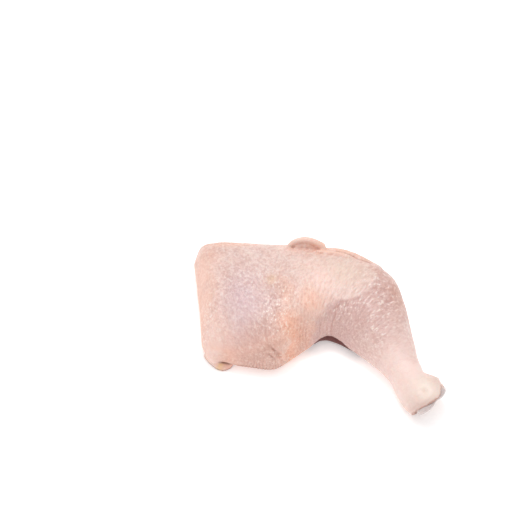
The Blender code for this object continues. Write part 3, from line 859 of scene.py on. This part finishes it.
def set_inputs(tree, node, inputs):
    """Sets a node's inputs to values or joins them to other nodes' outputs."""
    for name, value in inputs.items():
        if isinstance(value, bpy.types.NodeSocket):
            tree.links.new(value, node.inputs[name])
        else:
            node.inputs[name].default_value = value


def add_node(tree, kind, inputs=None, **settings):
    """A node with its settings and inputs."""
    node = tree.nodes.new(kind)
    for name, value in settings.items():
        setattr(node, name, value)
    set_inputs(tree, node, inputs or {})
    return node


def new_material(name):
    """A material, its node tree and its shader."""
    made = bpy.data.materials.new(name)
    made.use_nodes = True
    return made, made.node_tree, made.node_tree.nodes["Principled BSDF"]


def times(tree, first, second, added=0.0):
    """The value first x second + added."""
    inputs = {0: first, 1: second, 2: added}
    return add_node(tree, "ShaderNodeMath", inputs, operation="MULTIPLY_ADD").outputs[0]


def ranged(tree, value, low, high, to_low=0.0, to_high=1.0):
    """The value taken smoothly from one range to another."""
    inputs = {"Value": value, "From Min": low, "From Max": high, "To Min": to_low,
              "To Max": to_high}
    return add_node(tree, "ShaderNodeMapRange", inputs, interpolation_type="SMOOTHSTEP").outputs[0]


def mixed(tree, share, low, high, blend="MIX"):
    """The output of a colour mix."""
    inputs = {0: share, 6: low, 7: high}
    node = add_node(tree, "ShaderNodeMix", inputs, data_type="RGBA", blend_type=blend)
    return node.outputs[2]


def pattern(tree, vector, scale, detail=2.0, roughness=0.5, distortion=0.0):
    """The value of a Noise Texture."""
    inputs = {"Vector": vector, "Scale": scale, "Detail": detail, "Roughness": roughness,
              "Distortion": distortion}
    return add_node(tree, "ShaderNodeTexNoise", inputs).outputs[0]


def stored(tree, name, output="Fac"):
    """A value stored on the mesh under that name."""
    return add_node(tree, "ShaderNodeAttribute", attribute_name=name).outputs[output]


def moist_group():
    """Shader group for wet tissue: uneven lumps, the net between them, flecks on the lumps, painted
    glints on the highest of them, and wide blushes."""
    tree = bpy.data.node_groups.new("Moist Tissue", "ShaderNodeTree")
    sockets = tree.interface
    sockets.new_socket("Vector", in_out="INPUT", socket_type="NodeSocketVector")
    sockets.new_socket("Lumps per Metre", in_out="INPUT", socket_type="NodeSocketFloat")
    for name in ("Height", "Net", "Flecks", "Glints", "Blush"):
        sockets.new_socket(name, in_out="OUTPUT", socket_type="NodeSocketFloat")
    given = tree.nodes.new("NodeGroupInput")
    vector, lumps = given.outputs[0], given.outputs[1]
    cell = add_node(tree, "ShaderNodeTexVoronoi",
                    {"Vector": vector, "Scale": lumps, "Randomness": 1.0}).outputs["Distance"]
    lump = pattern(tree, vector, times(tree, lumps, 0.8), 3.0, 0.65, 0.6)
    height = times(tree, cell, -0.22, lump)
    blotch = pattern(tree, vector, times(tree, lumps, 0.16), 3.0, 0.6, 0.5)
    out = tree.nodes.new("NodeGroupOutput")
    tree.links.new(height, out.inputs["Height"])
    tree.links.new(ranged(tree, height, 0.24, 0.42, 1.0, 0.0), out.inputs["Net"])
    tree.links.new(ranged(tree, height, 0.40, 0.56), out.inputs["Flecks"])
    tree.links.new(ranged(tree, height, 0.475, 0.55), out.inputs["Glints"])
    tree.links.new(ranged(tree, blotch, 0.38, 0.68), out.inputs["Blush"])
    return tree


def moist(tree, vector, lumps):
    """The outputs of the moist tissue group, placed in a material."""
    node = tree.nodes.new("ShaderNodeGroup")
    node.node_tree = bpy.data.node_groups.get("Moist Tissue") or moist_group()
    tree.links.new(vector, node.inputs["Vector"])
    node.inputs["Lumps per Metre"].default_value = lumps
    return node.outputs


def skin_material(settings):
    """Raw skin: tints by its stored patches, netted, flecked and blushed, and wet over fine lumps.
    Its colour holds painted shade in hollows, creases and between lumps, painted shadows under the
    web and along the lower edge, painted glints and highlight, and painted light on the ear.
    """
    made, tree, shader = new_material("raw_skin")
    place = add_node(tree, "ShaderNodeTexCoord").outputs["Object"]
    tissue = moist(tree, stored(tree, "grain", "Vector"), settings.lumps)
    colour = mixed(tree, tissue["Blush"], (*settings.base, 1), (*settings.blush, 1))
    for name in ("peach", "cream_and_highlight", "violet", "mauve", "pale", "shank", "knuckle", "ear",
                 "painted_shade", "tan"):
        colour = mixed(tree, stored(tree, name), colour, (*getattr(settings, name), 1))
    # painted shade: hollows darkened towards the fold colour, less in the ear
    hollow_shade_share = times(tree, stored(tree, "ear"), -0.30, 0.40)
    deep = times(tree, ranged(tree, stored(tree, "hollow"), 0.0, 1.0), hollow_shade_share)
    colour = mixed(tree, deep, colour, (*settings.fold, 1))
    # painted shade in the creases
    colour = mixed(tree, times(tree, stored(tree, "crease"), 0.65), colour, (*settings.crease, 1))
    # painted shadow along the thigh's lower edge
    colour = mixed(tree, stored(tree, "seam"), colour, (*settings.seam, 1))
    fine = pattern(tree, place, 1100, 2.0, 0.6, 0.4)
    lively = times(tree, stored(tree, "calm"), -0.75, 1.0)
    painted_glints = stored(tree, "painted_glints")
    # painted shade: the lows between the lumps and the fine grooves are darkened, more where glints
    # are painted
    net_share = times(tree, painted_glints, 0.30, settings.net_share)
    netted = times(tree, times(tree, tissue["Net"], net_share), lively)
    net = times(tree, stored(tree, "groove"), 0.18, netted)
    colour = mixed(tree, net, colour, (*settings.net, 1), "MULTIPLY")
    # pale flecks of fat on the lumps, and painted glints on the highest of them in the glint zones
    flecked = times(tree, times(tree, tissue["Flecks"], settings.fleck_share), lively)
    fleck_and_glint = times(tree, times(tree, tissue["Glints"], painted_glints), 0.85, flecked)
    colour = mixed(tree, fleck_and_glint, colour, (*settings.fleck_and_glint, 1))
    colour = mixed(tree, stored(tree, "cut"), colour, (*settings.flesh, 1))
    # painted shadow under the web and along the floor line
    colour = mixed(tree, stored(tree, "under"), colour, (*settings.under, 1))
    height = times(tree, fine, 0.35, times(tree, tissue["Height"], lively))
    bump = add_node(tree, "ShaderNodeBump", {"Height": height, "Strength": settings.bump,
                                             "Distance": 0.0008})
    set_inputs(tree, shader, {
        "Base Color": colour, "Normal": bump.outputs[0],
        "Roughness": ranged(tree, tissue["Flecks"], 0.0, 1.0, 0.40, 0.28),
        "Subsurface Weight": 0.20, "Subsurface Radius": (1.0, 0.45, 0.30),
        "Subsurface Scale": 0.0010, "Specular IOR Level": 0.65, "Coat Weight": 0.10,
        "Coat Roughness": 0.30, "IOR": 1.40})
    return made


def gristle_material(settings):
    """Wet gristle: pearly, a little bluish, yellower and pinker where it leaves the cut."""
    made, tree, shader = new_material("wet_gristle")
    place = add_node(tree, "ShaderNodeTexCoord").outputs["Object"]
    tissue = moist(tree, place, 260)
    colour = mixed(tree, tissue["Blush"], (*settings.gristle, 1), (*settings.gristle_shade, 1))
    colour = mixed(tree, stored(tree, "worn"), (*settings.membrane, 1), colour)
    bump = add_node(tree, "ShaderNodeBump", {"Height": tissue["Height"], "Strength": 0.25,
                                             "Distance": 0.0004})
    set_inputs(tree, shader, {
        "Base Color": colour, "Normal": bump.outputs[0],
        "Roughness": ranged(tree, tissue["Flecks"], 0.0, 1.0, 0.30, 0.20),
        "Subsurface Weight": 0.30, "Subsurface Radius": (1.0, 0.7, 0.6),
        "Subsurface Scale": 0.001, "Coat Weight": 0.5, "Coat Roughness": 0.12})
    return made


def area_light(name, place, aim, size, power):
    """A square soft light of that size at a place, turned to what it lights."""
    lamp = bpy.data.lights.new(name, "AREA")
    lamp.shape = "SQUARE"
    lamp.size = size
    lamp.energy = power
    made = placed(name, lamp)
    made.location = place
    made.rotation_euler = (Vector(aim) - Vector(place)).to_track_quat("-Z", "Y").to_euler()


def build_studio(settings):
    """White floor, white surroundings, soft lights and the camera."""
    half = settings.floor_size / 2
    mesh = bpy.data.meshes.new("floor")
    corners = [(-half, -half, 0), (half, -half, 0), (half, half, 0), (-half, half, 0)]
    mesh.from_pydata(corners, [], [(0, 1, 2, 3)])
    white, tree, shader = new_material("white_floor")
    set_inputs(tree, shader, {
        "Base Color": (*settings.floor, 1), "Roughness": 0.6, "Specular IOR Level": 0.2,
        "Emission Color": (1, 1, 1, 1), "Emission Strength": settings.floor_glow})
    mesh.materials.append(white)
    placed("floor", mesh)
    world = bpy.data.worlds.new("white_room")
    world.use_nodes = True
    sky = world.node_tree.nodes["Background"]
    set_inputs(world.node_tree, sky, {"Color": (1, 1, 1, 1), "Strength": settings.surroundings})
    bpy.context.scene.world = world
    aim = (0, 0.01, 0.02)
    area_light("overhead_light", (-0.08, 0.14, 1.05), aim, 0.60, settings.overhead)
    area_light("glint_light", (-0.06, 0.24, 1.00), aim, 0.12, settings.glint)
    lens = bpy.data.cameras.new("camera")
    lens.lens = settings.lens
    lens.sensor_width = 36
    lens.clip_start = 0.01
    camera = placed("camera", lens)
    rise = settings.camera_rise
    away = Vector((0, -np.cos(rise), np.sin(rise))) * settings.camera_distance
    camera.location = Vector(settings.camera_aim) + away
    camera.rotation_euler = (-away).to_track_quat("-Z", "Y").to_euler()
    bpy.context.scene.camera = camera
    bpy.context.scene.view_settings.view_transform = "Standard"


def colour_property(name, description, *colour):
    """A colour setting whose default is given as 0 to 255 a channel."""
    return FloatVectorProperty(name=name, description=description, default=linear(*colour), min=0,
                               max=1, size=3, subtype="COLOR")


def share_property(name, description, default):
    """A setting from 0 to 1."""
    return FloatProperty(name=name, description=description, default=default, min=0, max=1,
                         subtype="FACTOR")


class SkinSettings(bpy.types.PropertyGroup):
    """Sizes and colours of the skin."""

    cell: FloatProperty(name="Cell", description="Size of the mesh's cells", default=0.0007,
                        min=0.0006, max=0.003, precision=5, unit="LENGTH")
    wrinkle_depth: FloatProperty(name="Wrinkle Depth", description="How deep the wrinkles are",
                                 default=0.0003, min=0, max=0.001, precision=5, unit="LENGTH")
    lumps: FloatProperty(name="Lumps per Metre", description="How close the skin's fine lumps lie",
                         default=620, min=50, max=2000)
    bump: share_property("Bump", "Strength of the lumps", 0.7)
    fleck_share: share_property("Fleck Share", "How strong the pale flecks are", 0.30)
    net_share: share_property("Net Share", "How strong the net between lumps is", 0.27)
    base: colour_property("Base", "Skin over the top of the thigh", 235, 207, 198)
    blush: colour_property("Blush", "Its pinker blotches", 224, 189, 179)
    peach: colour_property("Peach", "Fat under the skin at the margins", 247, 190, 164)
    # pale fat at the back of the knee, and a painted highlight on the fold
    cream_and_highlight: colour_property("Cream And Highlight", "Pale fat at the back of the knee", 234, 207, 193)
    violet: colour_property("Violet", "Muscle that shows through on the thigh", 224, 194, 195)
    mauve: colour_property("Mauve", "Muscle that shows through on the drumstick", 219, 183, 176)
    pale: colour_property("Pale", "Tight skin over the web", 247, 214, 203)
    shank: colour_property("Shank", "Tight skin on the shank", 249, 220, 212)
    knuckle: colour_property("Knuckle", "Skin over the hock", 242, 224, 212)
    # painted light: lighter than the skin, to lift the shade inside the ear
    ear: colour_property("Ear", "Loose skin that stands up", 255, 222, 207)
    # painted shade on the sides that turn from the light
    painted_shade: colour_property("Painted Shade", "Duller skin low on the sides", 212, 168, 154)
    tan: colour_property("Tan", "Yellower fat at the tucked corner", 236, 194, 144)
    # painted shade in hollows
    fold: colour_property("Fold", "Skin deep in folds", 218, 160, 140)
    # painted shade at the bottom of a crease
    crease: colour_property("Crease", "The bottom of a crease", 176, 118, 100)
    # painted shadow along the lower edge
    seam: colour_property("Seam", "The dark line along the thigh's lower edge", 128, 78, 58)
    # painted shade in the lows between the lumps
    net: colour_property("Net", "Tint of the net between the lumps", 206, 172, 166)
    # pale flecks of fat, and painted glints
    fleck_and_glint: colour_property("Fleck And Glint", "Pale flecks of fat and moisture", 255, 240, 232)
    flesh: colour_property("Flesh", "Tissue round the bone in the cut", 196, 156, 144)
    # painted shadow under the web and where the skin meets the floor
    under: colour_property("Under Shadow", "Dark flesh under the web", 110, 53, 48)


class GristleSettings(bpy.types.PropertyGroup):
    """Colours of the shin bone's end."""

    gristle: colour_property("Gristle", "Pearly cover of the joint", 214, 199, 195)
    gristle_shade: colour_property("Gristle Shade", "Its duller blotches", 194, 177, 175)
    membrane: colour_property("Membrane", "Where it leaves the cut", 214, 176, 160)


class StudioSettings(bpy.types.PropertyGroup):
    """Light, floor and camera."""

    floor_size: FloatProperty(name="Floor Size", description="Length of the floor's sides",
                              default=6, min=1, unit="LENGTH")
    floor: colour_property("Floor", "Floor colour", 251, 250, 250)
    floor_glow: FloatProperty(name="Floor Glow", description="Light of the floor itself",
                              default=0.30, min=0)
    surroundings: FloatProperty(name="Surroundings", description="Strength of the white room",
                                default=0.75, min=0)
    overhead: FloatProperty(name="Overhead Light", description="Power of the large light",
                            default=2.3, min=0, unit="POWER")
    glint: FloatProperty(name="Glint Light", description="Power of the small light",
                         default=1.5, min=0, unit="POWER")
    lens: FloatProperty(name="Lens", description="Focal length in millimetres", default=95, min=10)
    camera_aim: FloatVectorProperty(name="Camera Aim", description="Point the camera looks at",
                                    default=(-0.042, 0.0641, 0.018), size=3, subtype="XYZ",
                                    unit="LENGTH")
    camera_distance: FloatProperty(name="Camera Distance", description="From the aim",
                                   default=1.0, min=0.1, unit="LENGTH")
    camera_rise: FloatProperty(name="Camera Rise", description="Angle above the floor",
                               default=float(np.radians(50)), subtype="ANGLE")


class LEGQUARTER_OT_add_skin(bpy.types.Operator):
    """Build the skin of the leg quarter with its ear, hem and tuck"""

    bl_idname = "leg_quarter.add_skin"
    bl_label = "Skin"

    def execute(self, context):
        settings = context.scene.leg_quarter_skin
        piece = build_skin(settings)
        piece.data.materials.clear()
        piece.data.materials.append(skin_material(settings))
        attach(piece, "root")
        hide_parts("leg_quarter")
        return {"FINISHED"}


class LEGQUARTER_OT_add_gristle(bpy.types.Operator):
    """Build the shin bone, whose gristly end shows in the hock cut"""

    bl_idname = "leg_quarter.add_gristle"
    bl_label = "Gristle"

    def execute(self, context):
        piece = build_gristle()
        piece.data.materials.append(gristle_material(context.scene.leg_quarter_gristle))
        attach(piece, "root")
        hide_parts("shin_bone")
        return {"FINISHED"}


class LEGQUARTER_OT_add_studio(bpy.types.Operator):
    """Build the floor, the lights and the camera"""

    bl_idname = "leg_quarter.add_studio"
    bl_label = "Studio"

    def execute(self, context):
        build_studio(context.scene.leg_quarter_studio)
        return {"FINISHED"}


class LEGQUARTER_PT_panel(bpy.types.Panel):
    """The operators of the leg quarter, with their settings"""

    bl_idname = "LEGQUARTER_PT_panel"
    bl_label = "Leg Quarter"
    bl_space_type = "VIEW_3D"
    bl_region_type = "UI"
    bl_category = "Leg Quarter"

    def draw(self, context):
        for operator, store in (("leg_quarter.add_skin", "leg_quarter_skin"),
                                ("leg_quarter.add_gristle", "leg_quarter_gristle"),
                                ("leg_quarter.add_studio", "leg_quarter_studio")):
            box = self.layout.box()
            box.operator(operator)
            settings = getattr(context.scene, store)
            for name in type(settings).__annotations__:
                box.prop(settings, name)


CLASSES = (SkinSettings, GristleSettings, StudioSettings, LEGQUARTER_OT_add_skin,
           LEGQUARTER_OT_add_gristle, LEGQUARTER_OT_add_studio, LEGQUARTER_PT_panel)


def register():
    for made in CLASSES:
        bpy.utils.register_class(made)
    bpy.types.Scene.leg_quarter_skin = PointerProperty(type=SkinSettings)
    bpy.types.Scene.leg_quarter_gristle = PointerProperty(type=GristleSettings)
    bpy.types.Scene.leg_quarter_studio = PointerProperty(type=StudioSettings)


def unregister():
    del bpy.types.Scene.leg_quarter_studio
    del bpy.types.Scene.leg_quarter_gristle
    del bpy.types.Scene.leg_quarter_skin
    for made in reversed(CLASSES):
        bpy.utils.unregister_class(made)


def main():
    register()
    bpy.ops.leg_quarter.add_skin()
    bpy.ops.leg_quarter.add_gristle()
    bpy.ops.leg_quarter.add_studio()


if __name__ == "__main__":
    main()
